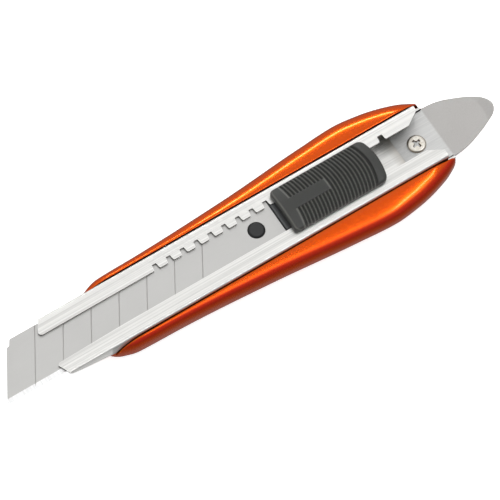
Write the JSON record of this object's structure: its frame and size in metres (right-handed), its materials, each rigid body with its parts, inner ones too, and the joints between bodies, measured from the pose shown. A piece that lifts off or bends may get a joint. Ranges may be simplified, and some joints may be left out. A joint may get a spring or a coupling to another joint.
{
  "type": "utility knife",
  "caption": "Snap-off utility knife: scored blade and ribbed thumb slide in a folded steel channel with a lock rack, in a contoured metal grip with a scraper plate at the tail.",
  "frame": {"origin": "middle of the flat back that the knife rests on, half-way along the grip", "axes": "+X from the blade's tip to the tail, +Y from the cutting edge to the spine, +Z out of the side with the thumb slide"},
  "size_m": [0.1829, 0.0372, 0.0165],
  "materials": {
    "grip_paint": "orange metallic candy paint with fine flake under clear lacquer",
    "channel_steel": "stainless sheet brushed along its length, bright sheared edges",
    "nickel": "warm nickel plate, satin",
    "tail_steel": "bead-blasted stainless, matt",
    "blade_steel": "matt rolled carbon steel with a bright ground edge",
    "black_plastic": "black moulded acetal, smooth",
    "slider_plastic": "charcoal moulded plastic, fine spark texture",
    "spring_steel": "hardened spring steel, satin"
  },
  "bodies": {
    "grip": {"grip_casting": "grip_paint", "blade_channel": "channel_steel", "front_channel_rivet": "nickel", "middle_channel_rivet": "nickel", "tail_plate": "tail_steel", "tail_screw": "nickel"},
    "carriage": {"blade_carriage": "black_plastic", "snap_off_blade": "blade_steel", "pawl_spring": "spring_steel"},
    "cap": {"slider_cap": "slider_plastic"},
    "pawl": {"lock_pawl": "spring_steel"}
  },
  "joints": [
    {"name": "carriage_slide", "type": "slide", "parent": "grip", "child": "carriage", "axis": [-1, 0, 0], "range_m": [-0.0224, 0.06]},
    {"name": "cap_shift", "type": "slide", "parent": "carriage", "child": "cap", "axis": [1, 0, 0], "range_m": [0, 0.002], "stiffness_N_per_m": 300, "springref_m": 0.004},
    {"name": "lock_pawl_slide", "type": "slide", "parent": "carriage", "child": "pawl", "axis": [0, 1, 0], "range_m": [0, 0.002], "deforming": ["pawl_spring"]}
  ],
  "couplings": [
    {"joint": "lock_pawl_slide", "follows": "cap_shift", "ratio": 1}
  ]
}
